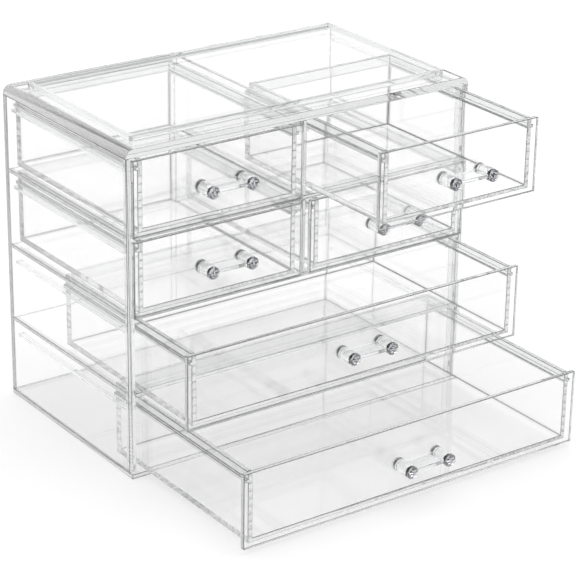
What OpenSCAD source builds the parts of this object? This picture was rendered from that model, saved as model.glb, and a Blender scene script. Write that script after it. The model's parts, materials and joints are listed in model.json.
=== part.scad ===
// Clear acrylic make-up organizer: a cemented case with six sliding drawers.
// Front faces -Y, right is +X, +Z is up; the origin is the middle of the base, on the table.

/* [Case] */
// Width of the case, over the side walls
case_w = 238; // [200:1:300]
// Depth of the case, from the base plate's front edge to the back face
case_d = 138; // [132:1:220]
// Thickness of the side walls and of the back panel
wall_t = 2.5; // [1.8:0.1:3.2]
// Thickness of the base plate
base_t = 3; // [2:0.1:6]
// Thickness of the top plate
top_t = 5.2; // [3:0.1:8]
// Radius that rounds the two long edges of the top plate
top_edge_r = 5; // [1:0.1:6]

/* [Rows] */
// Height of a drawer front
front_h = 45.2; // [38:0.1:70]
// Thickness of the shelves between the rows
shelf_t = 2.5; // [1.6:0.1:4]
// How much of a shelf's edge is covered by the front that stands over it
shelf_cover = 0.5; // [0:0.1:1.2]
// Space between the top row's fronts and the top plate
head_room = 0.6; // [0.4:0.1:6]
// Thickness of the divider between the small drawers
divider_t = 2.8; // [1.8:0.1:4]

/* [Stacking rim] */
// Height of the rim on the top plate
rim_h = 3.2; // [1:0.1:6]
// Width of the rim's bar
rim_w = 3.2; // [2:0.1:6]
// Distance from the edges of the top plate to the rim
rim_inset = 9.8; // [5:0.1:20]
// Outer corner radius of the rim
rim_corner_r = 3; // [1:0.1:8]

/* [Stiles and runners] */
// Depth of the stiles behind the walls' front edges, front to back
stile_d = 4.6; // [3:0.1:10]
// Thickness of the runner strips that carry the drawers
runner_t = 1.8; // [1.2:0.1:3]
// Distance from the back panel to the runners' rear ends
runner_short = 5; // [0:0.1:20]
// Distance from a tray's rim down to the underside of its slide ribs
rib_drop = 6.3; // [4:0.1:20]
// Thickness of the trays' slide ribs
rib_t = 2; // [1.2:0.1:3]
// How far a slide rib stands out of its tray
rib_out = 1.5; // [1:0.1:2.2]

/* [Drawers] */
// Thickness of the drawer fronts
front_t = 3; // [2:0.1:5]
// How far a front reaches past its tray on each side
front_overhang = 3.8; // [3.4:0.1:6]
// Gap between the fronts of two small drawers
centre_gap = 6; // [4:0.1:9]
// Width of the wall's end that shows beside a closed front
wall_reveal = 2.8; // [1.8:0.1:3.4]
// Thickness of the tray walls
tray_wall = 3; // [1.5:0.1:4]
// Thickness of the tray floors
tray_floor = 2.5; // [1.5:0.1:4]

/* [Drawers pulled out] */
// How far the right drawer of row 1 is pulled out
pull_row1_right = 63; // [0:0.5:110]
// How far the drawer of row 3 is pulled out
pull_row3 = 53; // [0:0.5:110]
// How far the drawer of row 4 is pulled out
pull_row4 = 107; // [0:0.5:110]

/* [Handles] */
// Distance between the two posts of a handle
post_spacing = 26.4; // [20:0.1:40]
// Diameter of a post
post_dia = 7.5; // [6:0.1:9]
// Length of a post, from the front to the gem
post_len = 13.5; // [13:0.1:18]
// Diameter of the foot where a post meets the front
foot_dia = 7.9; // [7:0.1:12]
// Thickness of the foot
foot_t = 1.6; // [0.8:0.1:2.4]
// Depth of the groove between the foot and the post
neck_cut = 0.6; // [0.3:0.1:1]
// Length of each sloping side of the groove, along the post
neck_slope = 0.3; // [0.2:0.1:0.4]
// Length of the groove's floor, along the post
neck_floor = 0.2; // [0.1:0.1:0.4]
// Diameter of the cut gem at the end of a post
gem_dia = 7.6; // [6:0.1:10]
// Height of the gem, from its widest line to its flat face
gem_h = 2.2; // [1.5:0.1:4]
// Depth of the flat web between the posts, front to back
bar_d = 10.4; // [6:0.1:10.5]
// Thickness of the web
bar_t = 2.2; // [1.2:0.1:4]
// Distance from the front to the web
bar_gap = 2.4; // [2:0.1:2.6]
// Radius of the hollow fillets where the web's back edge meets a post
bar_fillet = 1.7; // [0.8:0.1:1.9]
// How far the web runs into a post, past the groove's depth
bar_root = 0.3; // [0.2:0.1:0.8]

/* [Clearances] */
// Running gap between a slide rib and its runner
run_gap = 0.2; // [0.1:0.05:0.5]
// Gap beside a tray at the edge of its runner
side_gap = 0.3; // [0.2:0.05:0.6]
// Gap between a front and what it closes against
stop_gap = 0.2; // [0.1:0.05:0.5]
// Gap between the base plate and the lowest front
lift_gap = 0.4; // [0.2:0.1:1]
// Gap between a tray's rim and the shelf over it
rim_gap = 0.3; // [0.2:0.1:1.5]
// Gap between a slide rib and the stile or wall beside it
stile_gap = 0.4; // [0.2:0.1:0.8]
// Gap between a shelf and the tray over it
floor_gap = 1.9; // [0.4:0.1:5]
// Space behind a closed tray
back_gap = 3; // [0.5:0.1:10]

/* [Hidden] */

eps = 0.01;
round_fn = 64;
gem_sides = 8;
clear_grey = [0.93, 0.95, 0.96, 0.45];
edge_grey = [0.86, 0.89, 0.91, 0.7];
gem_grey = [0.8, 0.83, 0.86, 0.85];

pitch = front_h + rim_gap + shelf_t - shelf_cover;
under_top = base_t + lift_gap + 3 * pitch + front_h + head_room;
case_h = under_top + top_t;
front_y = -case_d / 2;
lip_y = front_y + front_t + stop_gap;
back_y = case_d / 2 - wall_t;
wall_x = case_w / 2 - wall_t;
divider_x = divider_t / 2;
front_out_x = case_w / 2 - wall_reveal;
front_in_x = centre_gap / 2;
tray_out_x = front_out_x - front_overhang;
tray_in_x = front_in_x + front_overhang;
top_round = min(top_edge_r, top_t - 0.2);
stile_w = wall_x - tray_out_x - rib_out - stile_gap;
tray_lift = shelf_cover + floor_gap;

// Height of the lower edge of a row's fronts; row 4 is the lowest
function front_z(row) = base_t + lift_gap + (4 - row) * pitch;
// Height of the rim of a row's trays, which is level with the top of the fronts
function rim_z(row) = front_z(row) + front_h;
// Height of the floor of a row's bay
function floor_z(row) = row == 4 ? base_t : front_z(row) + shelf_cover;

// A box from one corner to the opposite one
module block(low, high) {
    translate(low)
        cube(high - low);
}

// ---- Case ----

module base_plate() {
    color(clear_grey)
        block([-case_w / 2, front_y, 0], [case_w / 2, case_d / 2, base_t]);
}

module side_wall(side) {
    inner = side * wall_x;
    outer = side * case_w / 2;
    color(clear_grey)
        block([min(inner, outer), lip_y, base_t], [max(inner, outer), case_d / 2, under_top]);
}

module left_side_wall() { side_wall(-1); }
module right_side_wall() { side_wall(1); }

module back_panel() {
    color(clear_grey)
        block([-wall_x, back_y, base_t], [wall_x, case_d / 2, under_top]);
}

// The section keeps its lower edge square and rounds the two upper corners
module top_section() {
    difference() {
        translate([-case_w / 2, 0])
            square([case_w, top_t]);
        for (side = [-1, 1])
            translate([side * (case_w / 2 - top_round), top_t - top_round])
                difference() {
                    translate([side > 0 ? 0 : -top_round - 1, 0])
                        square([top_round + 1, top_round + 1]);
                    circle(r = top_round, $fn = round_fn);
                }
    }
}
module top_plate() {
    color(clear_grey)
        translate([0, case_d / 2, under_top])
            rotate([90, 0, 0])
                linear_extrude(height = case_d / 2 - lip_y)
                    top_section();
}

module rounded_frame(w, d, r) {
    square([w - 2 * r, d], center = true);
    square([w, d - 2 * r], center = true);
    for (sx = [-1, 1], sy = [-1, 1])
        translate([sx * (w / 2 - r), sy * (d / 2 - r)])
            circle(r = r, $fn = round_fn);
}

module stacking_rim() {
    rim_len = case_w - 2 * rim_inset;
    rim_dep = case_d / 2 - lip_y - 2 * rim_inset;
    inner_r = max(rim_corner_r - rim_w / 2, 0.6);
    color(edge_grey)
        translate([0, (case_d / 2 + lip_y) / 2, case_h])
            linear_extrude(height = rim_h)
                difference() {
                    rounded_frame(rim_len, rim_dep, rim_corner_r);
                    rounded_frame(rim_len - 2 * rim_w, rim_dep - 2 * rim_w, inner_r);
                }
}

// The shelf over a row, notched at its front corners round the stiles
module shelf_over(row) {
    z = rim_z(row) + rim_gap;
    color(clear_grey)
        difference() {
            block([-wall_x, lip_y, z], [wall_x, back_y, z + shelf_t]);
            for (side = [-1, 1])
                stile_space(side);
        }
}
module upper_shelf() { shelf_over(2); }
module middle_shelf() { shelf_over(3); }
module lower_shelf() { shelf_over(4); }

module divider(z_low, z_high) {
    color(clear_grey)
        block([-divider_x, lip_y, z_low], [divider_x, back_y, z_high]);
}
module upper_divider() { divider(floor_z(1), under_top); }
module lower_divider() { divider(floor_z(2), rim_z(2) + rim_gap); }

// The room that a stile takes up, also cut out of the shelves
module stile_space(side) {
    inner = side * (wall_x - stile_w);
    outer = side * wall_x;
    block([min(inner, outer), lip_y, base_t], [max(inner, outer), lip_y + stile_d, under_top]);
}
module left_stile() { color(edge_grey) stile_space(-1); }
module right_stile() { color(edge_grey) stile_space(1); }

// One runner strip, from the face that it is cemented to as far as the tray's side
module runner(row, fixed_x, tray_x) {
    top = rim_z(row) - rib_drop - run_gap;
    reach = tray_x + (fixed_x > tray_x ? side_gap : -side_gap);
    near = lip_y + stile_d;
    far = back_y - runner_short;
    color(edge_grey)
        block([min(fixed_x, reach), near, top - runner_t], [max(fixed_x, reach), far, top]);
}
module wall_runners(row) {
    for (side = [-1, 1])
        runner(row, side * wall_x, side * tray_out_x);
}
module divider_runners(row) {
    for (side = [-1, 1])
        runner(row, side * divider_x, side * tray_in_x);
}
module row1_runners() { wall_runners(1); divider_runners(1); }
module row2_runners() { wall_runners(2); divider_runners(2); }
module row3_runners() { wall_runners(3); }
module row4_runners() { wall_runners(4); }

// ---- Drawers ----
// x1 and x2 are the left and right ends of a drawer's front, pull is how far it is out

module tray(row, x1, x2, pull) {
    left = x1 + front_overhang;
    right = x2 - front_overhang;
    low = front_z(row) + tray_lift;
    high = rim_z(row);
    near = front_y + front_t;
    far = back_y - back_gap;
    rib_z = high - rib_drop;
    color(clear_grey)
        translate([0, -pull, 0]) {
            difference() {
                block([left, near, low], [right, far, high]);
                block([left + tray_wall, near - 1, low + tray_floor],
                      [right - tray_wall, far - tray_wall, high + 1]);
            }
            block([left - rib_out, near, rib_z], [left, far, rib_z + rib_t]);
            block([right, near, rib_z], [right + rib_out, far, rib_z + rib_t]);
        }
}

module front(row, x1, x2, pull) {
    color(clear_grey)
        translate([0, -pull, 0])
            block([x1, front_y, front_z(row)], [x2, front_y + front_t, front_z(row) + front_h]);
}

// A cut gem on a post's end: a girdle, a turned row of facets and a flat table
module gem() {
    girdle_t = gem_h * 0.2;
    hull() {
        linear_extrude(height = girdle_t)
            circle(d = gem_dia, $fn = gem_sides);
        translate([0, 0, gem_h * 0.6])
            rotate([0, 0, 180 / gem_sides])
                linear_extrude(height = eps)
                    circle(d = gem_dia * 0.88, $fn = gem_sides);
        translate([0, 0, gem_h - eps])
            linear_extrude(height = eps)
                circle(d = gem_dia * 0.55, $fn = gem_sides);
    }
}

// One post along +Z: a foot, a groove, the stem, a core that holds the gem, and the gem
module post() {
    neck = post_dia / 2 - neck_cut;
    gem_core = gem_dia / 5;
    rotate_extrude($fn = round_fn)
        polygon([
            [0, 0],
            [foot_dia / 2, 0],
            [foot_dia / 2, foot_t],
            [neck, foot_t + neck_slope],
            [neck, foot_t + neck_slope + neck_floor],
            [post_dia / 2, foot_t + 2 * neck_slope + neck_floor],
            [post_dia / 2, post_len],
            [gem_core, post_len],
            [gem_core, post_len + gem_h / 2],
            [0, post_len + gem_h / 2]
        ]);
    translate([0, 0, post_len])
        rotate([0, 0, 180 / gem_sides])
            gem();
}

// The flat web between the posts, hollowed where its back edge meets them
module bar() {
    sink = neck_cut + bar_root;
    inner = post_spacing / 2 - post_dia / 2;
    hollow = inner - bar_fillet;
    linear_extrude(height = bar_t, center = true)
        difference() {
            translate([-inner - sink, 0])
                square([2 * (inner + sink), bar_d + bar_fillet]);
            translate([0, bar_d + bar_fillet]) {
                for (side = [-1, 1])
                    translate([side * hollow, 0])
                        circle(r = bar_fillet, $fn = round_fn);
                square([2 * hollow, 2 * bar_fillet], center = true);
            }
        }
}

module handle(row, x1, x2, pull) {
    color(gem_grey)
        translate([(x1 + x2) / 2, front_y - pull, front_z(row) + front_h / 2]) {
            for (side = [-1, 1])
                translate([side * post_spacing / 2, 0, 0])
                    rotate([90, 0, 0])
                        post();
            translate([0, -bar_gap - bar_d, 0])
                bar();
        }
}

module row1_left_tray() { tray(1, -front_out_x, -front_in_x, 0); }
module row1_left_front() { front(1, -front_out_x, -front_in_x, 0); }
module row1_left_handle() { handle(1, -front_out_x, -front_in_x, 0); }

module row1_right_tray() { tray(1, front_in_x, front_out_x, pull_row1_right); }
module row1_right_front() { front(1, front_in_x, front_out_x, pull_row1_right); }
module row1_right_handle() { handle(1, front_in_x, front_out_x, pull_row1_right); }

module row2_left_tray() { tray(2, -front_out_x, -front_in_x, 0); }
module row2_left_front() { front(2, -front_out_x, -front_in_x, 0); }
module row2_left_handle() { handle(2, -front_out_x, -front_in_x, 0); }

module row2_right_tray() { tray(2, front_in_x, front_out_x, 0); }
module row2_right_front() { front(2, front_in_x, front_out_x, 0); }
module row2_right_handle() { handle(2, front_in_x, front_out_x, 0); }

module row3_tray() { tray(3, -front_out_x, front_out_x, pull_row3); }
module row3_front() { front(3, -front_out_x, front_out_x, pull_row3); }
module row3_handle() { handle(3, -front_out_x, front_out_x, pull_row3); }

module row4_tray() { tray(4, -front_out_x, front_out_x, pull_row4); }
module row4_front() { front(4, -front_out_x, front_out_x, pull_row4); }
module row4_handle() { handle(4, -front_out_x, front_out_x, pull_row4); }

base_plate();
left_side_wall();
right_side_wall();
back_panel();
top_plate();
stacking_rim();
upper_shelf();
middle_shelf();
lower_shelf();
upper_divider();
lower_divider();
left_stile();
right_stile();
row1_runners();
row2_runners();
row3_runners();
row4_runners();
row1_left_tray();
row1_left_front();
row1_left_handle();
row1_right_tray();
row1_right_front();
row1_right_handle();
row2_left_tray();
row2_left_front();
row2_left_handle();
row2_right_tray();
row2_right_front();
row2_right_handle();
row3_tray();
row3_front();
row3_handle();
row4_tray();
row4_front();
row4_handle();
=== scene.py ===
"""Clear acrylic make-up organizer with six sliding drawers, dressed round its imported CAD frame.

The case is cast acrylic sheet, cemented edge to edge, with a thicker top slab and a stacking rim.
The drawers are clear moulded trays closed by sheet fronts, each with a gem-ended pull.
Every length is in metres in the CAD's own frame: -Y is the front, +X the right, +Z up.
"""

import json
import logging
import math
from collections.abc import Iterable, Mapping, Sequence
from dataclasses import dataclass, field
from enum import Enum
from functools import cache
from typing import Any

import bmesh
import bpy
from mathutils import Matrix, Vector

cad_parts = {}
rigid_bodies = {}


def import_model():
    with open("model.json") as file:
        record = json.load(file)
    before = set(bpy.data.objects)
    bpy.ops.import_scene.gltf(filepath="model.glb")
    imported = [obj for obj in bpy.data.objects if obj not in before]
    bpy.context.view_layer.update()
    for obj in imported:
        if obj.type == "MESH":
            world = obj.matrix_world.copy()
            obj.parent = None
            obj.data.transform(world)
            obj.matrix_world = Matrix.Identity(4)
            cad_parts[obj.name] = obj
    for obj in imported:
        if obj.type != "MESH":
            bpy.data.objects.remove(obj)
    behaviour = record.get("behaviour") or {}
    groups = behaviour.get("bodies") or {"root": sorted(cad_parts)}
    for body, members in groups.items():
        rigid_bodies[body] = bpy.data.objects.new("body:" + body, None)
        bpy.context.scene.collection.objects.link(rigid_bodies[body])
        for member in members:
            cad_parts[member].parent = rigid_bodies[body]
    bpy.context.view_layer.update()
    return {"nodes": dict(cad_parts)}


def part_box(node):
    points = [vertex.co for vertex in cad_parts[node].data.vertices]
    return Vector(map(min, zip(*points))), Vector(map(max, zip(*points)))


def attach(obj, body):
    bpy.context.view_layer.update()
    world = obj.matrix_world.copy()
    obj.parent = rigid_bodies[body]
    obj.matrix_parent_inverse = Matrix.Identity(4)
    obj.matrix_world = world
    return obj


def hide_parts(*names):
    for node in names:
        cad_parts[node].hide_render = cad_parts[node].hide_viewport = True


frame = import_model()

LOG = logging.getLogger("organizer")
MM = 0.001
IMAGE_PX = 576
SENSOR_MM = 36.0


class Slot(Enum):
    """The record's material slots."""

    SHEET = "clear_sheet"
    STRIP = "clear_strip"
    TRAY = "clear_tray"
    FRONT = "clear_front"
    PULL = "clear_handle"


class Side(Enum):
    """The two sides of the case, by the sign of X."""

    LEFT = -1
    RIGHT = 1


# ---- Nodes, colours and finishes ----


def linear(code: str) -> tuple[float, float, float, float]:
    """Turns an sRGB colour into linear light.

    Args:
        code: Six hex digits, such as "f4f5f6".

    Returns:
        Red, green, blue and a full alpha.
    """
    parts = [int(code[i : i + 2], 16) / 255 for i in (0, 2, 4)]
    low = [c / 12.92 if c <= 0.04045 else ((c + 0.055) / 1.055) ** 2.4 for c in parts]
    return (low[0], low[1], low[2], 1.0)


def add_node(
    tree: bpy.types.NodeTree,
    kind: str,
    inputs: Mapping[str | int, Any] | None = None,
    **settings: Any,
) -> bpy.types.Node:
    """Adds one node with its settings, values and links.

    Args:
        tree: The tree that gets the node.
        kind: The node's type.
        inputs: What each input socket holds: a value, an output socket, or a list of these to join.
        settings: The node's own settings.

    Returns:
        The new node.
    """
    node = tree.nodes.new(kind)
    for name, value in settings.items():
        setattr(node, name, value)
    for key, value in (inputs or {}).items():
        socket = node.inputs[key]
        if isinstance(value, bpy.types.NodeSocket):
            tree.links.new(value, socket)
        elif isinstance(value, list):
            for source in value:
                tree.links.new(source, socket)
        else:
            socket.default_value = value
    return node


@dataclass(frozen=True)
class AcrylicFinish:
    """Clear acrylic and the way that its surface was made.

    Attributes:
        name: The material's name.
        tint: The light that one sheet lets through, as sRGB; the grey of the cut edges and arrises
            is painted shade.
        gloss_loss: Roughness of the clean surface.
        scuff: Roughness that the finest scratches add.
        scuff_mm: Spacing of the scratches, across them.
        scuff_run: How many times longer a scratch is than it is wide.
        wave_mm: Spacing of the slow waves in the surface.
        wave_depth_mm: Height of those waves.
    """

    name: str
    tint: str
    gloss_loss: float
    scuff: float
    scuff_mm: float
    scuff_run: float
    wave_mm: float
    wave_depth_mm: float

    def material(self) -> bpy.types.Material:
        """Returns the finish's material, made at its first use."""
        return acrylic_material(self)


ACRYLIC_IOR = 1.49
# Of the scratches' noise, the part from here up is rough: most of the surface stays clean.
SCUFF_FROM, SCUFF_FULL = 0.5, 0.72
# Light that has run a long way inside the acrylic comes out grey, which is what an edge shows.
DEPTH_COLOUR = "bcbcbc"
DEPTH_DENSITY = 1.6


@cache
def acrylic_material(finish: AcrylicFinish) -> bpy.types.Material:
    """Builds a clear acrylic material.

    Args:
        finish: What the acrylic is and how it was finished.

    Returns:
        The material.
    """
    material = bpy.data.materials.new(finish.name)
    material.use_nodes = True
    tree = material.node_tree
    tree.nodes.clear()
    place = add_node(tree, "ShaderNodeTexCoord").outputs["Object"]
    along = add_node(
        tree,
        "ShaderNodeMapping",
        {"Vector": place, "Scale": (1.0, 1.0 / finish.scuff_run, 1.0)},
    ).outputs["Vector"]
    scuffs = add_node(
        tree,
        "ShaderNodeTexNoise",
        {"Vector": along, "Scale": 1 / (finish.scuff_mm * MM), "Detail": 4.0, "Roughness": 0.6},
    ).outputs["Fac"]
    roughness = add_node(
        tree,
        "ShaderNodeMapRange",
        {
            "Value": scuffs,
            "From Min": SCUFF_FROM,
            "From Max": SCUFF_FULL,
            "To Min": finish.gloss_loss,
            "To Max": finish.gloss_loss + finish.scuff,
        },
    ).outputs["Result"]
    waves = add_node(
        tree,
        "ShaderNodeTexNoise",
        {"Vector": place, "Scale": 1 / (finish.wave_mm * MM), "Detail": 1.0},
    ).outputs["Fac"]
    bump = add_node(
        tree,
        "ShaderNodeBump",
        {"Height": waves, "Strength": 1.0, "Distance": finish.wave_depth_mm * MM},
    ).outputs["Normal"]
    shader = add_node(
        tree,
        "ShaderNodeBsdfPrincipled",
        {
            "Base Color": linear(finish.tint),
            "Roughness": roughness,
            "IOR": ACRYLIC_IOR,
            "Transmission Weight": 1.0,
            "Normal": bump,
        },
    )
    depth = add_node(
        tree,
        "ShaderNodeVolumeAbsorption",
        {"Color": linear(DEPTH_COLOUR), "Density": DEPTH_DENSITY},
    )
    add_node(
        tree,
        "ShaderNodeOutputMaterial",
        {"Surface": shader.outputs["BSDF"], "Volume": depth.outputs[0]},
    )
    return material


# Cast sheet: dead flat and mirror smooth, so it shows only its reflections.
CAST_SHEET = AcrylicFinish("cast_acrylic_sheet", "fefefe", 0.0, 0.02, 1.2, 14.0, 60.0, 0.02)
# Saw-cut, diamond-polished edge: its grey tint is painted shade, standing in for the grey that
# light picks up on its long way through the sheet.
POLISHED_EDGE_PAINTED_SHADE = AcrylicFinish("polished_acrylic_edge_painted_shade", "ebecec", 0.02, 0.06, 0.5, 6.0, 6.0, 0.01)
# Arris between two faces, eased with fine paper so a little rough; its dark grey tint is painted
# shade, the thin grey line that outlines each sheet.
ARRIS_PAINTED_SHADE = AcrylicFinish("eased_acrylic_arris_painted_shade", "86888a", 0.12, 0.1, 0.4, 6.0, 3.0, 0.01)
# Moulded tray: as clear as the sheet, with slow flow waves from the mould.
MOULDED_TRAY = AcrylicFinish("moulded_acrylic_tray", "fdfdfd", 0.0, 0.03, 1.5, 8.0, 35.0, 0.06)
# Extruded strips, sawn to length: faint die lines along them.
EXTRUDED_STRIP = AcrylicFinish(
    "extruded_acrylic_strip", "f1f2f2", 0.01, 0.04, 0.6, 40.0, 12.0, 0.01
)
# Moulded pull: a hard, bright polish, so that its cut ends sparkle.
MOULDED_PULL = AcrylicFinish("moulded_acrylic_pull", "f7f8f8", 0.0, 0.015, 1.0, 3.0, 12.0, 0.01)
# Face bonded to the front: the cement leaves it grey and half matt.
BONDED_FACE = AcrylicFinish("cemented_acrylic_face", "dde0e1", 0.3, 0.2, 0.8, 1.0, 4.0, 0.02)


@dataclass(frozen=True)
class FoilFinish:
    """A finish behind a cut gem: the silvered foil, and the socket's black lining, which is painted
    shade.

    Attributes:
        name: The material's name.
        colour: The side's own colour, as sRGB.
        crease_shade_and_glint: The colour along its creases, as sRGB: painted shade on the foil,
            painted glints on the black lining.
        metal: 1 for the bare foil, 0 for the black lining of painted shade.
        gloss_loss: Roughness of the smooth foil.
        crease: Roughness that the creases add.
        crease_mm: Spacing of the creases.
    """

    name: str
    colour: str
    crease_shade_and_glint: str
    metal: float
    gloss_loss: float
    crease: float
    crease_mm: float

    def material(self) -> bpy.types.Material:
        """Returns the finish's material, made at its first use."""
        return foil_material(self)


# Of the way from a crease cell's middle to its border, the part where the painted crease colour
# comes in.
CREST_FROM, CREST_FULL = 0.6, 0.75


@cache
def foil_material(finish: FoilFinish) -> bpy.types.Material:
    """Builds the foil's material.

    Args:
        finish: What the foil is like.

    Returns:
        The material.
    """
    material = bpy.data.materials.new(finish.name)
    material.use_nodes = True
    tree = material.node_tree
    tree.nodes.clear()
    place = add_node(tree, "ShaderNodeTexCoord").outputs["Object"]
    creases = add_node(
        tree, "ShaderNodeTexVoronoi", {"Vector": place, "Scale": 1 / (finish.crease_mm * MM)}
    ).outputs["Distance"]
    roughness = add_node(
        tree,
        "ShaderNodeMapRange",
        {
            "Value": creases,
            "To Min": finish.gloss_loss,
            "To Max": finish.gloss_loss + finish.crease,
        },
    ).outputs["Result"]
    crest = add_node(
        tree,
        "ShaderNodeMapRange",
        {"Value": creases, "From Min": CREST_FROM, "From Max": CREST_FULL},
    ).outputs["Result"]
    colour = add_node(
        tree,
        "ShaderNodeMix",
        {0: crest, 6: linear(finish.colour), 7: linear(finish.crease_shade_and_glint)},
        data_type="RGBA",
    )
    shader = add_node(
        tree,
        "ShaderNodeBsdfPrincipled",
        {
            "Base Color": colour.outputs[2],
            "Metallic": finish.metal,
            "Roughness": roughness,
        },
    )
    add_node(tree, "ShaderNodeOutputMaterial", {"Surface": shader.outputs["BSDF"]})
    return material


# Vacuum-silvered foil under the gem: a near mirror, so the facets flash white and black.
# Its darker crease colour is painted shade along the creases.
GEM_FOIL = FoilFinish("silvered_gem_foil", "e2e2e4", "c4c4c6", 1.0, 0.02, 0.06, 0.8)
# Painted shade: a black lining of the gem's socket, seen through the post as a dark crescent,
# with painted glints as pale flecks along its creases.
GEM_SOCKET_PAINTED_SHADE = FoilFinish("gem_socket_painted_shade", "0c0c0d", "a8a8aa", 0.0, 0.12, 0.1, 0.9)


# ---- Shapes ----


@dataclass(frozen=True)
class Box:
    """A box between its lowest and its highest corner."""

    low: Vector
    high: Vector

    @classmethod
    def of_node(cls, node: str) -> "Box":
        """Returns the box of a CAD node at rest."""
        return cls(*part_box(node))

    def shrunk(self, by: float) -> "Box":
        """Returns the box with every face moved in by a distance."""
        step = Vector((by, by, by))
        return Box(self.low + step, self.high - step)

    def holds(self, point: Vector) -> bool:
        """Says whether a point is inside the box."""
        return all(self.low[a] < point[a] < self.high[a] for a in range(3))

    @property
    def centre(self) -> Vector:
        """The middle of the box."""
        return (self.low + self.high) / 2

    @property
    def size(self) -> Vector:
        """The box's three lengths."""
        return self.high - self.low


SAME_PLANE = 1e-6
CEMENT_LINE = 0.02 * MM
SHEET_BEVEL = 0.3 * MM
NARROW_FACE = 6.0 * MM
# The angle from which an edge of a skin counts as sharp, in radians.
SHARP_EDGE = 0.5
# A piece's finishes: its faces, then its cut edges, then the arrises between them.
ARRIS_INDEX = 2
SAME_FINISH = -1
# What a face's normal stays under in Z, for ShapeTree.mark.
EVERY_FACE, LEANING_BACK, FLAT_BACK = 1.1, -0.1, -0.9


def planes_of(boxes: Iterable[Box], axis: int) -> list[float]:
    """Lists the places on one axis where boxes begin or end.

    Args:
        boxes: The boxes.
        axis: 0, 1 or 2 for X, Y or Z.

    Returns:
        The places in rising order, each once.
    """
    marks = sorted(corner[axis] for box in boxes for corner in (box.low, box.high))
    kept = marks[:1]
    for mark in marks[1:]:
        if mark - kept[-1] > SAME_PLANE:
            kept.append(mark)
    return kept


def joined_boxes(added: Sequence[Box], cut: Sequence[Box] = ()) -> bmesh.types.BMesh:
    """Joins boxes, and cuts others from them, into one closed skin with nothing left inside.

    Args:
        added: The boxes that are solid.
        cut: The boxes that are taken away.

    Returns:
        The skin, with its flat faces merged.
    """
    planes = [planes_of((*added, *cut), axis) for axis in range(3)]
    counts = [len(marks) - 1 for marks in planes]

    def solid(cell: tuple[int, int, int]) -> bool:
        """Says whether a cell of the grid is solid.

        Args:
            cell: The cell's place on each axis.

        Returns:
            True inside an added box and outside every cut one.
        """
        if any(not 0 <= cell[a] < counts[a] for a in range(3)):
            return False
        middle = Vector([(planes[a][cell[a]] + planes[a][cell[a] + 1]) / 2 for a in range(3)])
        return any(b.holds(middle) for b in added) and not any(b.holds(middle) for b in cut)

    bm = bmesh.new()
    corners: dict[tuple[int, ...], bmesh.types.BMVert] = {}

    def corner(index: tuple[int, ...]) -> bmesh.types.BMVert:
        """Finds the vertex at a crossing of the grid, or makes it.

        Args:
            index: The crossing's place on each axis.

        Returns:
            The vertex.
        """
        if index not in corners:
            corners[index] = bm.verts.new([planes[a][index[a]] for a in range(3)])
        return corners[index]

    cells = [
        (i, j, k) for i in range(counts[0]) for j in range(counts[1]) for k in range(counts[2])
    ]
    for cell in filter(solid, cells):
        for axis in range(3):
            for end in (0, 1):
                beside = list(cell)
                beside[axis] += 2 * end - 1
                if solid((beside[0], beside[1], beside[2])):
                    continue
                u, v = (axis + 1) % 3, (axis + 2) % 3
                ring = []
                for du, dv in ((0, 0), (1, 0), (1, 1), (0, 1)):
                    index = list(cell)
                    index[axis] += end
                    index[u] += du
                    index[v] += dv
                    ring.append(corner(tuple(index)))
                bm.faces.new(ring if end else ring[::-1])
    bmesh.ops.dissolve_limit(bm, angle_limit=0.01, verts=bm.verts, edges=bm.edges)
    return bm


def mark_cut_edges(bm: bmesh.types.BMesh, widest: float = NARROW_FACE) -> None:
    """Gives the narrow faces the second material, as they are the sheet's cut edges.

    Args:
        bm: The skin.
        widest: The width from which a face is no longer an edge.
    """
    for face in bm.faces:
        strip_width = 2 * face.calc_area() / face.calc_perimeter()
        face.material_index = 1 if strip_width < widest else 0


def soften(
    bm: bmesh.types.BMesh, radius: float, segments: int = 2, finish: int = ARRIS_INDEX
) -> None:
    """Rounds every sharp edge of a skin.

    Args:
        bm: The skin.
        radius: How far the rounding reaches from the edge.
        segments: How many faces it has across.
        finish: The rounding's place among the finishes, or SAME_FINISH to take its neighbour's.
    """
    sharp = [e for e in bm.edges if len(e.link_faces) == 2 and e.calc_face_angle() > SHARP_EDGE]
    bmesh.ops.bevel(
        bm,
        geom=sharp,
        offset=radius,
        offset_type="OFFSET",
        segments=segments,
        profile=0.5,
        affect="EDGES",
        clamp_overlap=True,
        material=finish,
    )


def new_piece(
    name: str, bm: bmesh.types.BMesh, finishes: Sequence[AcrylicFinish]
) -> bpy.types.Object:
    """Makes an object of a skin.

    Args:
        name: The object's name.
        bm: The skin, which is freed.
        finishes: A finish for each of the skin's material numbers.

    Returns:
        The object, at the origin.
    """
    mesh = bpy.data.meshes.new(name)
    bm.to_mesh(mesh)
    bm.free()
    for finish in finishes:
        mesh.materials.append(finish.material())
    piece = bpy.data.objects.new(name, mesh)
    bpy.context.scene.collection.objects.link(piece)
    return piece


def settle(piece: bpy.types.Object, body: str, slot: Slot, *nodes: str) -> bpy.types.Object:
    """Ties a finished piece to the frame and logs it.

    Args:
        piece: The piece, in place.
        body: The CAD body that it moves with.
        slot: The record's slot for its finish; not used.
        nodes: The CAD nodes that it stands for.

    Returns:
        The piece.
    """
    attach(piece, body)
    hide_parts(*nodes)
    LOG.info("%-26s on %-18s for %s", piece.name, body, ", ".join(nodes))
    return piece


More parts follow.
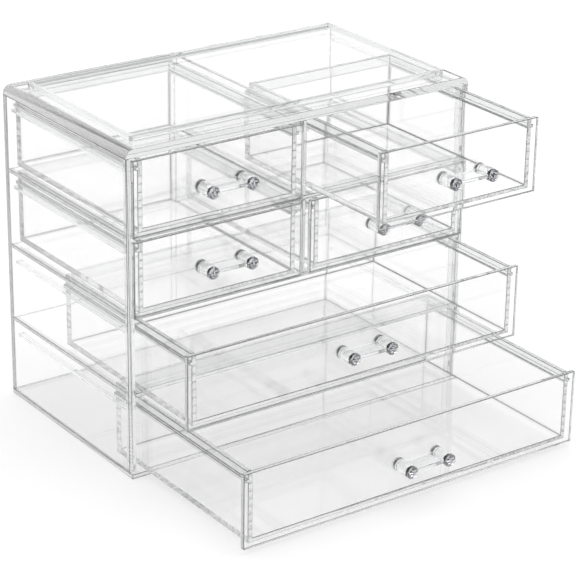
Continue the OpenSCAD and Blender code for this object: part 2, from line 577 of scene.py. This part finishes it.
class ShapeTree:
    """A Geometry Nodes tree with named inputs, run once into a plain mesh."""

    def __init__(self, name: str) -> None:
        """Makes the tree with its geometry sockets.

        Args:
            name: The tree's name.
        """
        self.tree = bpy.data.node_groups.new(name, "GeometryNodeTree")
        self.ids: dict[str, str] = {}
        self.tree.interface.new_socket(
            "Geometry", in_out="OUTPUT", socket_type="NodeSocketGeometry"
        )
        self.input("Geometry", "NodeSocketGeometry")

    def input(self, label: str, kind: str = "NodeSocketFloat") -> None:
        """Adds a named input to the tree."""
        made = self.tree.interface.new_socket(label, in_out="INPUT", socket_type=kind)
        self.ids[label] = made.identifier

    def node(
        self, kind: str, inputs: Mapping[str | int, Any] | None = None, **settings: Any
    ) -> bpy.types.Node:
        """Adds a node to the tree, as add_node does."""
        return add_node(self.tree, kind, inputs, **settings)

    def sources(self) -> bpy.types.bpy_prop_collection:
        """Returns the sockets that the tree's inputs come in by."""
        return self.node("NodeGroupInput").outputs

    def maths(self, operation: str, first: Any, second: Any = 0.0) -> bpy.types.NodeSocket:
        """Returns the socket of one sum, product or the like."""
        made = self.node("ShaderNodeMath", {0: first, 1: second}, operation=operation)
        return made.outputs[0]

    def fuse(self, operation: str, *parts: bpy.types.NodeSocket) -> bpy.types.NodeSocket:
        """Joins, cuts or intersects closed meshes.

        Args:
            operation: UNION, INTERSECT, or DIFFERENCE, which cuts the second from the first.
            parts: The meshes.

        Returns:
            The result's socket.
        """
        inputs = {0: parts[0], 1: parts[1]} if operation == "DIFFERENCE" else {1: list(parts)}
        node = self.node(
            "GeometryNodeMeshBoolean", inputs, operation=operation, solver="EXACT"
        )
        return node.outputs[0]

    def mark(
        self, name: str, geometry: bpy.types.NodeSocket, below: float
    ) -> bpy.types.NodeSocket:
        """Marks the faces that look down, for a finish of their own.

        Args:
            name: The mark's name.
            geometry: The faces.
            below: The normal's Z that a marked face stays under.

        Returns:
            The marked geometry's socket.
        """
        normal = self.node("GeometryNodeInputNormal").outputs[0]
        facing = self.node("ShaderNodeSeparateXYZ", {0: normal})
        marked = self.node(
            "GeometryNodeStoreNamedAttribute",
            {
                "Geometry": geometry,
                "Name": name,
                "Value": self.maths("LESS_THAN", facing.outputs["Z"], below),
            },
            data_type="BOOLEAN",
            domain="FACE",
        )
        return marked.outputs[0]

    def end(
        self, geometry: bpy.types.NodeSocket, marks: Mapping[str, str] | None = None
    ) -> None:
        """Ends the tree: instances made real, the finishes set, and the result put out.

        Args:
            geometry: What the tree has made.
            marks: For each mark, the input that holds its faces' finish.
        """
        real = self.node("GeometryNodeRealizeInstances", {"Geometry": geometry})
        painted = self.node(
            "GeometryNodeSetMaterial",
            {"Geometry": real.outputs[0], "Material": self.sources()["Material"]},
        )
        for mark, finish in (marks or {}).items():
            marked = self.node(
                "GeometryNodeInputNamedAttribute", {"Name": mark}, data_type="BOOLEAN"
            )
            painted = self.node(
                "GeometryNodeSetMaterial",
                {
                    "Geometry": painted.outputs[0],
                    "Selection": marked.outputs["Attribute"],
                    "Material": self.sources()[finish],
                },
            )
        self.node("NodeGroupOutput", {0: painted.outputs[0]})

    def run(
        self,
        name: str,
        base: bpy.types.Mesh,
        values: Mapping[str, Any],
        bevel: float = 0.0,
    ) -> bpy.types.Object:
        """Runs the tree on a mesh and keeps the result as a plain mesh.

        Args:
            name: The new object's name.
            base: The mesh that goes in.
            values: What each named input holds.
            bevel: How far the sharp edges of the result are rounded, or 0.

        Returns:
            The new object, with no modifier.
        """
        worker = bpy.data.objects.new(name + "_worker", base)
        bpy.context.scene.collection.objects.link(worker)
        modifier = worker.modifiers.new(self.tree.name, "NODES")
        modifier.node_group = self.tree
        for label, value in values.items():
            modifier[self.ids[label]] = value
        if bevel:
            rounding = worker.modifiers.new("Rounding", "BEVEL")
            rounding.width = bevel
            rounding.segments = 2
            rounding.limit_method = "ANGLE"
        graph = bpy.context.evaluated_depsgraph_get()
        mesh = bpy.data.meshes.new_from_object(worker.evaluated_get(graph), depsgraph=graph)
        mesh.name = name
        if mesh.materials and mesh.materials[0] is None:
            mesh.materials.pop(index=0)
        bpy.data.objects.remove(worker)
        made = bpy.data.objects.new(name, mesh)
        bpy.context.scene.collection.objects.link(made)
        return made


# ---- Case ----


@dataclass
class SheetCase:
    """The cemented case: base, walls, back, shelves, dividers and stiles of cut sheet."""

    body: str = "case"
    stile_notch: tuple[str, ...] = ("left_stile", "right_stile")
    plain_sheets: tuple[str, ...] = (
        "base_plate",
        "left_side_wall",
        "right_side_wall",
        "back_panel",
        "upper_divider",
        "lower_divider",
    )
    shelves: tuple[str, ...] = ("upper_shelf", "middle_shelf", "lower_shelf")
    bevel: float = SHEET_BEVEL

    def build(self) -> list[bpy.types.Object]:
        """Builds every sheet and stile of the case.

        Returns:
            The pieces.
        """
        made = [self.sheet(node) for node in self.plain_sheets]
        made += [self.shelf(node) for node in self.shelves]
        made += [self.stile(side) for side in Side]
        return made

    def sheet(self, node: str) -> bpy.types.Object:
        """Builds a plain cut sheet.

        Args:
            node: The CAD node that it stands for.

        Returns:
            The piece.
        """
        bm = joined_boxes([Box.of_node(node).shrunk(CEMENT_LINE)])
        return self.dress(bm, node + "_sheet", node)

    def shelf(self, node: str) -> bpy.types.Object:
        """Builds a shelf, notched at its front corners round the stiles.

        Args:
            node: The CAD node that it stands for.

        Returns:
            The piece.
        """
        notches = [Box.of_node(stile).shrunk(-CEMENT_LINE) for stile in self.stile_notch]
        bm = joined_boxes([Box.of_node(node).shrunk(CEMENT_LINE)], notches)
        return self.dress(bm, node + "_sheet", node)

    def stile(self, side: Side) -> bpy.types.Object:
        """Builds the square bar behind a wall's front edge.

        Args:
            side: The side of the case.

        Returns:
            The piece.
        """
        node = side.name.lower() + "_stile"
        bm = joined_boxes([Box.of_node(node).shrunk(CEMENT_LINE)])
        soften(bm, self.bevel)
        piece = new_piece(node + "_bar", bm, [EXTRUDED_STRIP])
        return settle(piece, self.body, Slot.STRIP, node)

    def dress(self, bm: bmesh.types.BMesh, name: str, node: str) -> bpy.types.Object:
        """Gives a sheet its cut edges and its finish.

        Args:
            bm: The sheet's skin.
            name: The piece's name.
            node: The CAD node that it stands for.

        Returns:
            The piece.
        """
        mark_cut_edges(bm)
        soften(bm, self.bevel)
        piece = new_piece(name, bm, [CAST_SHEET, POLISHED_EDGE_PAINTED_SHADE, ARRIS_PAINTED_SHADE])
        return settle(piece, self.body, Slot.SHEET, node)


@dataclass
class TopSlab:
    """The thick top plate, with its two long upper edges rounded."""

    body: str = "case"
    node: str = "top_plate"
    edge_radius: float = 5.0 * MM
    arc_steps: int = 10
    arc_lean: float = 0.02
    bevel: float = SHEET_BEVEL

    def section(self, box: Box) -> list[tuple[float, float]]:
        """Draws the slab's outline as seen from the front.

        Args:
            box: The slab's box.

        Returns:
            X and Z of each corner, anticlockwise from the lower left.
        """
        low, high, r = box.low, box.high, self.edge_radius
        outline = [(low.x, low.z), (high.x, low.z)]
        for centre_x, start in ((high.x - r, 0.0), (low.x + r, math.pi / 2)):
            for step in range(self.arc_steps + 1):
                angle = start + step / self.arc_steps * math.pi / 2
                outline.append((centre_x + r * math.cos(angle), high.z - r + r * math.sin(angle)))
        return outline

    def build(self) -> bpy.types.Object:
        """Builds the slab.

        Returns:
            The piece.
        """
        box = Box.of_node(self.node).shrunk(CEMENT_LINE)
        bm = bmesh.new()
        near = [bm.verts.new((x, box.low.y, z)) for x, z in self.section(box)]
        far = [bm.verts.new((x, box.high.y, z)) for x, z in self.section(box)]
        bm.faces.new(near)
        bm.faces.new(far[::-1])
        for i, here in enumerate(near):
            after = (i + 1) % len(near)
            bm.faces.new((here, far[i], far[after], near[after]))
        bmesh.ops.recalc_face_normals(bm, faces=bm.faces)
        for face in bm.faces:
            lean = min(abs(face.normal.x), abs(face.normal.z))
            face.smooth = lean > self.arc_lean
            face.material_index = int(abs(face.normal.y) > 0.5)
        soften(bm, self.bevel)
        piece = new_piece("top_slab", bm, [CAST_SHEET, POLISHED_EDGE_PAINTED_SHADE, ARRIS_PAINTED_SHADE])
        return settle(piece, self.body, Slot.SHEET, self.node)


@dataclass
class StackingRim:
    """The raised frame on the top slab that keeps a second organizer in place."""

    body: str = "case"
    node: str = "stacking_rim"
    bar_width: float = 3.2 * MM
    path_radius: float = 1.8 * MM
    path_steps: int = 8
    bar_rounding: float = 0.5 * MM
    bar_steps: int = 3

    def tree(self) -> ShapeTree:
        """Builds the tree that sweeps the bar's section round the frame.

        Returns:
            The tree.
        """
        t = ShapeTree("rim_bar_round_the_top")
        for label in ("Length", "Depth", "Bar Width", "Bar Height", "Corner", "Rounding"):
            t.input(label)
        t.input("Centre", "NodeSocketVector")
        t.input("Material", "NodeSocketMaterial")
        i = t.sources()
        outline = t.node(
            "GeometryNodeCurvePrimitiveQuadrilateral",
            {
                "Width": t.maths("SUBTRACT", i["Length"], i["Bar Width"]),
                "Height": t.maths("SUBTRACT", i["Depth"], i["Bar Width"]),
            },
        )
        path = t.node(
            "GeometryNodeFilletCurve",
            {"Curve": outline.outputs[0], "Radius": i["Corner"], "Count": self.path_steps},
            mode="POLY",
        )
        section = t.node(
            "GeometryNodeCurvePrimitiveQuadrilateral",
            {"Width": i["Bar Width"], "Height": i["Bar Height"]},
        )
        rounded = t.node(
            "GeometryNodeFilletCurve",
            {"Curve": section.outputs[0], "Radius": i["Rounding"], "Count": self.bar_steps},
            mode="POLY",
        )
        swept = t.node(
            "GeometryNodeCurveToMesh",
            {"Curve": path.outputs[0], "Profile Curve": rounded.outputs[0]},
        )
        placed = t.node(
            "GeometryNodeTransform",
            {"Geometry": swept.outputs[0], "Translation": i["Centre"]},
        )
        t.end(placed.outputs[0])
        return t

    def build(self) -> bpy.types.Object:
        """Builds the rim.

        Returns:
            The piece.
        """
        box = Box.of_node(self.node).shrunk(CEMENT_LINE)
        piece = self.tree().run(
            "stacking_rim_frame",
            bpy.data.meshes.new("rim_seed"),
            {
                "Length": box.size.x,
                "Depth": box.size.y,
                "Bar Width": self.bar_width,
                "Bar Height": box.size.z,
                "Corner": self.path_radius,
                "Rounding": self.bar_rounding,
                "Centre": box.centre,
                "Material": EXTRUDED_STRIP.material(),
            },
        )
        return settle(piece, self.body, Slot.STRIP, self.node)


@dataclass
class RunnerStrips:
    """The strips inside the case that the trays' ribs slide on."""

    body: str = "case"
    rows: tuple[int, ...] = (1, 2, 3, 4)
    bevel: float = 0.2 * MM

    def tree(self) -> ShapeTree:
        """Builds the tree that puts a strip at each point, as big as the point says.

        Returns:
            The tree.
        """
        t = ShapeTree("runner_strips")
        t.input("Material", "NodeSocketMaterial")
        i = t.sources()
        strip = t.node("GeometryNodeMeshCube", {"Size": (1.0, 1.0, 1.0)})
        size = t.node(
            "GeometryNodeInputNamedAttribute", {"Name": "strip_size"}, data_type="FLOAT_VECTOR"
        )
        copies = t.node(
            "GeometryNodeInstanceOnPoints",
            {
                "Points": i["Geometry"],
                "Instance": strip.outputs["Mesh"],
                "Scale": size.outputs["Attribute"],
            },
        )
        t.end(copies.outputs[0])
        return t

    def strips_of(self, node: str) -> list[Box]:
        """Finds the separate strips of a CAD node.

        Args:
            node: The CAD node.

        Returns:
            The box of each strip.
        """
        bm = bmesh.new()
        bm.from_mesh(frame["nodes"][node].data)
        bmesh.ops.remove_doubles(bm, verts=bm.verts, dist=SAME_PLANE)
        waiting, found = set(bm.verts), []
        while waiting:
            group, edge = [], [waiting.pop()]
            while edge:
                vert = edge.pop()
                group.append(vert.co.copy())
                near = {e.other_vert(vert) for e in vert.link_edges} & waiting
                waiting -= near
                edge += near
            found.append(
                Box(
                    Vector([min(p[a] for p in group) for a in range(3)]),
                    Vector([max(p[a] for p in group) for a in range(3)]),
                )
            )
        bm.free()
        return sorted(found, key=lambda box: box.low.x)

    def build(self) -> list[bpy.types.Object]:
        """Builds the strips of every row.

        Returns:
            One piece for each row.
        """
        tree = self.tree()
        made = []
        for row in self.rows:
            node = f"row{row}_runners"
            boxes = [box.shrunk(CEMENT_LINE) for box in self.strips_of(node)]
            points = bpy.data.meshes.new(node + "_points")
            points.from_pydata([box.centre for box in boxes], [], [])
            sizes = points.attributes.new("strip_size", "FLOAT_VECTOR", "POINT")
            sizes.data.foreach_set("vector", [c for box in boxes for c in box.size])
            piece = tree.run(
                f"row{row}_runner_strips",
                points,
                {"Material": EXTRUDED_STRIP.material()},
                bevel=self.bevel,
            )
            made.append(settle(piece, self.body, Slot.STRIP, node))
        return made


# ---- Drawers ----


@dataclass
class TraySizes:
    """What every drawer's tray is made to."""

    wall: float = 3.0 * MM
    floor: float = 2.5 * MM
    rib_out: float = 1.5 * MM
    rib_thick: float = 2.0 * MM
    rib_drop: float = 6.3 * MM
    bevel: float = 0.35 * MM


@dataclass
class PullSizes:
    """What every pull is made to."""

    spacing: float = 26.4 * MM
    post_radius: float = 3.75 * MM
    post_length: float = 13.5 * MM
    foot_radius: float = 3.95 * MM
    foot_thick: float = 1.6 * MM
    neck_radius: float = 3.15 * MM
    neck_slope: float = 0.3 * MM
    neck_floor: float = 0.2 * MM
    gem_radius: float = 3.8 * MM
    gem_height: float = 2.2 * MM
    gem_sides: int = 8
    gem_lap: float = 0.1 * MM
    foil_depth: float = 2.8 * MM
    foil_thick: float = 0.12 * MM
    web_depth: float = 10.4 * MM
    web_thick: float = 2.2 * MM
    web_from_front: float = 2.4 * MM
    web_fillet: float = 1.7 * MM
    web_sink: float = 0.9 * MM
    web_rounding: float = 0.3 * MM
    post_sides: int = 48
    fillet_steps: int = 8
    # Shares of the gem's radius, at the low end and at the high end.
    steep_crown: tuple[float, float] = (1.0, 0.62)
    shallow_crown: tuple[float, float] = (1.18, 0.5)
    gem_back: tuple[float, float] = (0.27, 0.89)
    socket: tuple[float, float] = (0.72, 0.95)

    def tree_values(self) -> dict[str, float]:
        """Returns what the lengths among the post tree's inputs hold, by their names."""
        return {
            "Spacing": self.spacing,
            "Post Radius": self.post_radius,
            "Post Length": self.post_length,
            "Foot Radius": self.foot_radius,
            "Foot Thickness": self.foot_thick,
            "Neck Radius": self.neck_radius,
            "Neck Slope": self.neck_slope,
            "Neck Floor": self.neck_floor,
            "Gem Radius": self.gem_radius,
            "Gem Height": self.gem_height,
            "Foil Depth": self.foil_depth,
            "Foil Thickness": self.foil_thick,
        }


# The post tree's inputs that hold a finish; the first is for every face without a mark.
PULL_FINISHES = {
    "Material": MOULDED_PULL,
    "Foil": GEM_FOIL,
    "Lacquer": GEM_SOCKET_PAINTED_SHADE,
    "Bonded": BONDED_FACE,
}


class PullMaker:
    """Makes the gem-ended pulls: two thick posts with cut ends, joined by a flat web."""

    def __init__(self, sizes: PullSizes) -> None:
        """Builds the tree that sets the posts on the web.

        Args:
            sizes: What the pulls are made to.
        """
        self.sizes = sizes
        self.tree = self.post_tree()

    def post_tree(self) -> ShapeTree:
        """Builds the tree: one post with its cut gem, set at both ends of the web and fused.

        Returns:
            The tree.
        """
        s = self.sizes
        t = ShapeTree("gem_ended_posts")
        for label in s.tree_values():
            t.input(label)
        t.input("Gem Sides", "NodeSocketInt")
        t.input("Centre", "NodeSocketVector")
        for label in PULL_FINISHES:
            t.input(label, "NodeSocketMaterial")
        i = t.sources()

        def turned(
            sides: Any, low: Any, high: Any, start: Any, length: Any
        ) -> bpy.types.NodeSocket:
            """Makes a cone or cylinder on the post's axis, smooth round if its sides are fixed.

            Args:
                sides: How many sides it has.
                low: Its radius at the end nearer the front.
                high: Its radius at the other end.
                start: How far from the front it begins.
                length: Its length.

            Returns:
                The solid's socket.
            """
            cone = t.node(
                "GeometryNodeMeshCone",
                {
                    "Vertices": sides,
                    "Radius Bottom": low,
                    "Radius Top": high,
                    "Depth": length,
                },
            )
            round_side = t.node(
                "GeometryNodeSetShadeSmooth",
                {
                    0: cone.outputs["Mesh"],
                    "Selection": cone.outputs["Side"],
                    "Shade Smooth": isinstance(sides, int),
                },
            )
            offset = t.node("ShaderNodeCombineXYZ", {"Z": start})
            moved = t.node(
                "GeometryNodeTransform",
                {"Geometry": round_side.outputs[0], "Translation": offset.outputs[0]},
            )
            return moved.outputs[0]

        round_sides, length, radius = s.post_sides, i["Post Length"], i["Post Radius"]
        foot_r, foot_t = i["Foot Radius"], i["Foot Thickness"]
        neck, slope = i["Neck Radius"], i["Neck Slope"]
        rise = t.maths("ADD", t.maths("ADD", foot_t, slope), i["Neck Floor"])
        shoulder = t.maths("ADD", rise, slope)
        stem_length = t.maths("SUBTRACT", length, shoulder)
        foot = turned(round_sides, foot_r, foot_r, 0.0, foot_t)
        groove = turned(round_sides, foot_r, neck, foot_t, slope)
        core = turned(round_sides, neck, neck, 0.0, length)
        ramp = turned(round_sides, neck, radius, rise, slope)
        stem = turned(round_sides, radius, radius, shoulder, stem_length)
        post = t.mark("bonded", t.fuse("UNION", foot, groove, core, ramp, stem), FLAT_BACK)

        def cut(shares: tuple[float, float], start: Any, depth: Any) -> bpy.types.NodeSocket:
            """Makes a faceted cone from its two shares of the gem's radius."""
            low, high = (t.maths("MULTIPLY", i["Gem Radius"], share) for share in shares)
            return turned(i["Gem Sides"], low, high, start, depth)

        def cup(shares: tuple[float, float], inset: Any) -> bpy.types.NodeSocket:
            """Makes a cup behind the crown, run on a little past the post's end.

            Args:
                shares: Its radii at the bottom and at the rim, as shares of the gem's.
                inset: How far its bottom is moved in from the foil's depth.

            Returns:
                The cup's socket.
            """
            low = t.maths("ADD", t.maths("SUBTRACT", length, i["Foil Depth"]), inset)
            high = t.maths("ADD", length, s.gem_lap)
            return cut(shares, low, t.maths("SUBTRACT", high, low))

        start = t.maths("ADD", length, CEMENT_LINE)
        half_side = t.node(
            "ShaderNodeCombineXYZ", {"Z": t.maths("DIVIDE", math.pi, i["Gem Sides"])}
        )
        shallow = t.node(
            "GeometryNodeTransform",
            {
                "Geometry": cut(s.shallow_crown, start, i["Gem Height"]),
                "Rotation": half_side.outputs[0],
            },
        )
        steep = cut(s.steep_crown, start, i["Gem Height"])
        crown = t.fuse("INTERSECT", steep, shallow.outputs[0])
        back = cup(s.gem_back, i["Foil Thickness"])
        gem = t.mark("foiled", t.fuse("UNION", crown, back), LEANING_BACK)
        # The socket's faces carry the black lining of painted shade, seen through the post as a
        # dark crescent.
        socket = t.mark("lacquered", cup(s.socket, 0.0), EVERY_FACE)
        ends = t.node(
            "GeometryNodeMeshLine",
            {
                "Count": 2,
                "Start Location": t.node(
                    "ShaderNodeCombineXYZ", {"X": t.maths("MULTIPLY", i["Spacing"], -0.5)}
                ).outputs[0],
                "Offset": t.node("ShaderNodeCombineXYZ", {"X": i["Spacing"]}).outputs[0],
            },
            mode="OFFSET",
        ).outputs[0]

        def both(part: bpy.types.NodeSocket) -> bpy.types.NodeSocket:
            """Turns a part to face forward and sets it at both ends of the web.

            Args:
                part: The part, on the Z axis.

            Returns:
                The two copies' socket.
            """
            forward = t.node(
                "GeometryNodeTransform", {"Geometry": part, "Rotation": (math.pi / 2, 0.0, 0.0)}
            )
            pair = t.node(
                "GeometryNodeInstanceOnPoints", {"Points": ends, "Instance": forward.outputs[0]}
            )
            return t.node("GeometryNodeRealizeInstances", {"Geometry": pair.outputs[0]}).outputs[0]

        body = t.fuse("DIFFERENCE", t.fuse("UNION", both(post), i["Geometry"]), both(socket))
        whole = t.node("GeometryNodeJoinGeometry", {0: [body, both(gem)]})
        placed = t.node(
            "GeometryNodeTransform", {"Geometry": whole.outputs[0], "Translation": i["Centre"]}
        )
        marks = {"foiled": "Foil", "lacquered": "Lacquer", "bonded": "Bonded"}
        t.end(placed.outputs[0], marks)
        return t

    def web_mesh(self) -> bpy.types.Mesh:
        """Builds the flat web between the posts, its back edge hollowed where it meets them.

        Returns:
            The mesh, round the pull's own centre.
        """
        s = self.sizes
        inner = s.spacing / 2 - s.post_radius
        hollow, reach = inner - s.web_fillet, inner + s.web_sink
        back, far = -s.web_from_front, -s.web_from_front - s.web_depth
        turns = [k / s.fillet_steps * math.pi / 2 for k in range(s.fillet_steps + 1)]
        arc = [
            (hollow + s.web_fillet * math.sin(turn), back + s.web_fillet * (1 - math.cos(turn)))
            for turn in turns
        ]
        right = [(reach, far), (reach, back + s.web_fillet), *arc[::-1]]
        outline = [*right, *((-x, y) for x, y in right[::-1])]
        bm = bmesh.new()
        low = [bm.verts.new((x, y, -s.web_thick / 2)) for x, y in outline]
        high = [bm.verts.new((x, y, s.web_thick / 2)) for x, y in outline]
        bm.faces.new(low)
        bm.faces.new(high[::-1])
        for k, here in enumerate(low):
            after = (k + 1) % len(low)
            bm.faces.new((here, high[k], high[after], low[after]))
        bmesh.ops.recalc_face_normals(bm, faces=bm.faces)
        soften(bm, s.web_rounding, 3, SAME_FINISH)
        mesh = bpy.data.meshes.new("pull_web")
        bm.to_mesh(mesh)
        bm.free()
        return mesh

    def build(self, name: str, centre: Vector) -> bpy.types.Object:
        """Builds one pull.

        Args:
            name: The piece's name.
            centre: The middle of the pull, where it meets the drawer's front.

        Returns:
            The piece.
        """
        values = {
            **self.sizes.tree_values(),
            "Gem Sides": self.sizes.gem_sides,
            "Centre": centre,
            **{label: finish.material() for label, finish in PULL_FINISHES.items()},
        }
        return self.tree.run(name, self.web_mesh(), values)


@dataclass
class Drawer:
    """One drawer: a moulded tray, its sheet front and its pull."""

    key: str
    pulls: PullMaker
    tray_sizes: TraySizes = field(default_factory=TraySizes)
    front_bevel: float = 0.4 * MM

    @property
    def body(self) -> str:
        """The CAD body that the drawer is."""
        return self.key + "_drawer"

    def build(self) -> list[bpy.types.Object]:
        """Builds the drawer's three pieces.

        Returns:
            The tray, the front and the pull.
        """
        return [self.tray(), self.front(), self.pull()]

    def tray(self) -> bpy.types.Object:
        """Builds the open tray with the two ribs that it slides on.

        Returns:
            The piece.
        """
        node, s = self.key + "_tray", self.tray_sizes
        whole = Box.of_node(node).shrunk(CEMENT_LINE)
        side = Vector((s.rib_out, 0, 0))
        shell = Box(whole.low + side, whole.high - side)
        rib_z = whole.high.z - s.rib_drop
        ribs = Box(
            Vector((whole.low.x, whole.low.y, rib_z)),
            Vector((whole.high.x, whole.high.y, rib_z + s.rib_thick)),
        )
        room = Box(
            shell.low + Vector((s.wall, -s.wall, s.floor)),
            shell.high + Vector((-s.wall, -s.wall, s.floor)),
        )
        bm = joined_boxes([shell, ribs], [room])
        mark_cut_edges(bm)
        soften(bm, s.bevel)
        piece = new_piece(node + "_moulding", bm, [MOULDED_TRAY, POLISHED_EDGE_PAINTED_SHADE, ARRIS_PAINTED_SHADE])
        return settle(piece, self.body, Slot.TRAY, node)

    def front(self) -> bpy.types.Object:
        """Builds the sheet front.

        Returns:
            The piece.
        """
        node = self.key + "_front"
        bm = joined_boxes([Box.of_node(node).shrunk(CEMENT_LINE)])
        mark_cut_edges(bm)
        soften(bm, self.front_bevel)
        piece = new_piece(node + "_sheet", bm, [CAST_SHEET, POLISHED_EDGE_PAINTED_SHADE, ARRIS_PAINTED_SHADE])
        return settle(piece, self.body, Slot.FRONT, node)

    def pull(self) -> bpy.types.Object:
        """Builds the pull on the front.

        Returns:
            The piece.
        """
        node = self.key + "_handle"
        front, handle = Box.of_node(self.key + "_front"), Box.of_node(node)
        centre = Vector((handle.centre.x, front.low.y - CEMENT_LINE, handle.centre.z))
        piece = self.pulls.build(self.key + "_gem_pull", centre)
        return settle(piece, self.body, Slot.PULL, node)


# ---- Studio ----


@dataclass(frozen=True)
class ProductCamera:
    """The camera, from where the photograph's own camera stood."""

    azimuth_deg: float = -35.48
    elevation_deg: float = 23.07
    roll_deg: float = 0.75
    focal_px: float = 2322.0
    centre_px: tuple[float, float] = (275.0, 288.6)
    place_mm: tuple[float, float, float] = (-733.0, -1067.0, 617.0)
    sees_m: tuple[float, float] = (0.05, 60.0)

    def build(self) -> bpy.types.Object:
        """Makes the camera and gives it to the scene.

        Returns:
            The camera.
        """
        a, e, roll = map(math.radians, (self.azimuth_deg, self.elevation_deg, self.roll_deg))
        back = Vector((math.sin(a) * math.cos(e), -math.cos(a) * math.cos(e), math.sin(e)))
        level = Vector((0, 0, 1)).cross(back).normalized()
        up = back.cross(level)
        right = math.cos(roll) * level + math.sin(roll) * up
        above = math.cos(roll) * up - math.sin(roll) * level
        turn = Matrix((right, above, back)).transposed().to_4x4()
        data = bpy.data.cameras.new("product_camera")
        data.sensor_width = SENSOR_MM
        data.lens = self.focal_px / IMAGE_PX * SENSOR_MM
        half = IMAGE_PX / 2
        data.shift_x = (half - self.centre_px[0]) / IMAGE_PX
        data.shift_y = (self.centre_px[1] - half) / IMAGE_PX
        data.clip_start, data.clip_end = self.sees_m
        camera = bpy.data.objects.new("product_camera", data)
        camera.matrix_world = Matrix.Translation(Vector(self.place_mm) * MM) @ turn
        bpy.context.scene.collection.objects.link(camera)
        bpy.context.scene.camera = camera
        return camera


@dataclass
class SoftStudio:
    """A pale lit table in a soft, bright room, with a dark opening that the edges pick up."""

    floor_radius: float = 14.0
    floor_sides: int = 96
    table_colour: str = "a0a0a0"
    table_glow: float = 0.7
    table_roughness: float = 0.9
    table_gloss: float = 0.1
    wall_height: float = 0.6
    ceiling_height: float = 0.86
    softness: float = 0.05
    ring_level: float = 0.42
    ceiling_level: float = 2.0
    opening_at: tuple[float, float, float] = (-0.51, -0.75, 0.42)
    opening_size: float = 0.84
    opening_level: float = 0.0
    room_strength: float = 1.12
    light_bounces: int = 128

    def build(self) -> None:
        """Makes the room's light and the table."""
        self.room()
        self.table()
        self.view()

    def room(self) -> None:
        """Makes the room: white walls, a darker ring, a bright ceiling and a dark opening."""
        world = bpy.data.worlds.new("soft_room")
        world.use_nodes = True
        tree = world.node_tree
        tree.nodes.clear()
        way = add_node(tree, "ShaderNodeTexCoord").outputs["Generated"]
        height = add_node(tree, "ShaderNodeSeparateXYZ", {0: way}).outputs["Z"]
        levels = []
        for at, low, high in (
            (self.wall_height, 1.0, self.ring_level),
            (self.ceiling_height, 0.0, self.ceiling_level - self.ring_level),
        ):
            step = add_node(
                tree,
                "ShaderNodeMapRange",
                {
                    "Value": height,
                    "From Min": at - self.softness / 2,
                    "From Max": at + self.softness / 2,
                    "To Min": low,
                    "To Max": high,
                },
                interpolation_type="SMOOTHSTEP",
            )
            levels.append(step.outputs["Result"])
        level = add_node(tree, "ShaderNodeMath", {0: levels[0], 1: levels[1]}, operation="ADD")
        toward = add_node(
            tree,
            "ShaderNodeVectorMath",
            {0: way, 1: Vector(self.opening_at).normalized()},
            operation="DOT_PRODUCT",
        )
        opening = add_node(
            tree,
            "ShaderNodeMapRange",
            {
                "Value": toward.outputs["Value"],
                "From Min": self.opening_size - self.softness / 2,
                "From Max": self.opening_size + self.softness / 2,
                "To Min": 1.0,
                "To Max": self.opening_level,
            },
            interpolation_type="SMOOTHSTEP",
        )
        shade = add_node(
            tree,
            "ShaderNodeMath",
            {0: level.outputs[0], 1: opening.outputs["Result"]},
            operation="MULTIPLY",
        )
        light = add_node(
            tree,
            "ShaderNodeBackground",
            {"Color": shade.outputs[0], "Strength": self.room_strength},
        )
        add_node(tree, "ShaderNodeOutputWorld", {"Surface": light.outputs[0]})
        bpy.context.scene.world = world

    def table(self) -> None:
        """Lays the white table, lit from below so that the shadow on it stays faint."""
        bm = bmesh.new()
        bmesh.ops.create_circle(
            bm, cap_ends=True, segments=self.floor_sides, radius=self.floor_radius
        )
        mesh = bpy.data.meshes.new("white_table")
        bm.to_mesh(mesh)
        bm.free()
        material = bpy.data.materials.new("backlit_opal_glass")
        material.use_nodes = True
        tree = material.node_tree
        tree.nodes.clear()
        shader = add_node(
            tree,
            "ShaderNodeBsdfPrincipled",
            {
                "Base Color": linear(self.table_colour),
                "Roughness": self.table_roughness,
                "Specular IOR Level": self.table_gloss,
                "Emission Color": linear("ffffff"),
                "Emission Strength": self.table_glow,
            },
        )
        add_node(tree, "ShaderNodeOutputMaterial", {"Surface": shader.outputs["BSDF"]})
        mesh.materials.append(material)
        table = bpy.data.objects.new("white_table", mesh)
        bpy.context.scene.collection.objects.link(table)

    def view(self) -> None:
        """Sets how light becomes picture, and through how many faces it is followed."""
        scene = bpy.context.scene
        scene.view_settings.view_transform = "Standard"
        for name in ("max_bounces", "glossy_bounces", "transmission_bounces"):
            setattr(scene.cycles, name, self.light_bounces)


def main() -> None:
    """Builds the organizer, then the studio."""
    logging.basicConfig(level=logging.INFO, format="%(message)s")
    SheetCase().build()
    TopSlab().build()
    StackingRim().build()
    RunnerStrips().build()
    pulls = PullMaker(PullSizes())
    for key in ("row1_left", "row1_right", "row2_left", "row2_right", "row3", "row4"):
        Drawer(key, pulls).build()
    ProductCamera().build()
    SoftStudio().build()


if __name__ == "__main__":
    main()
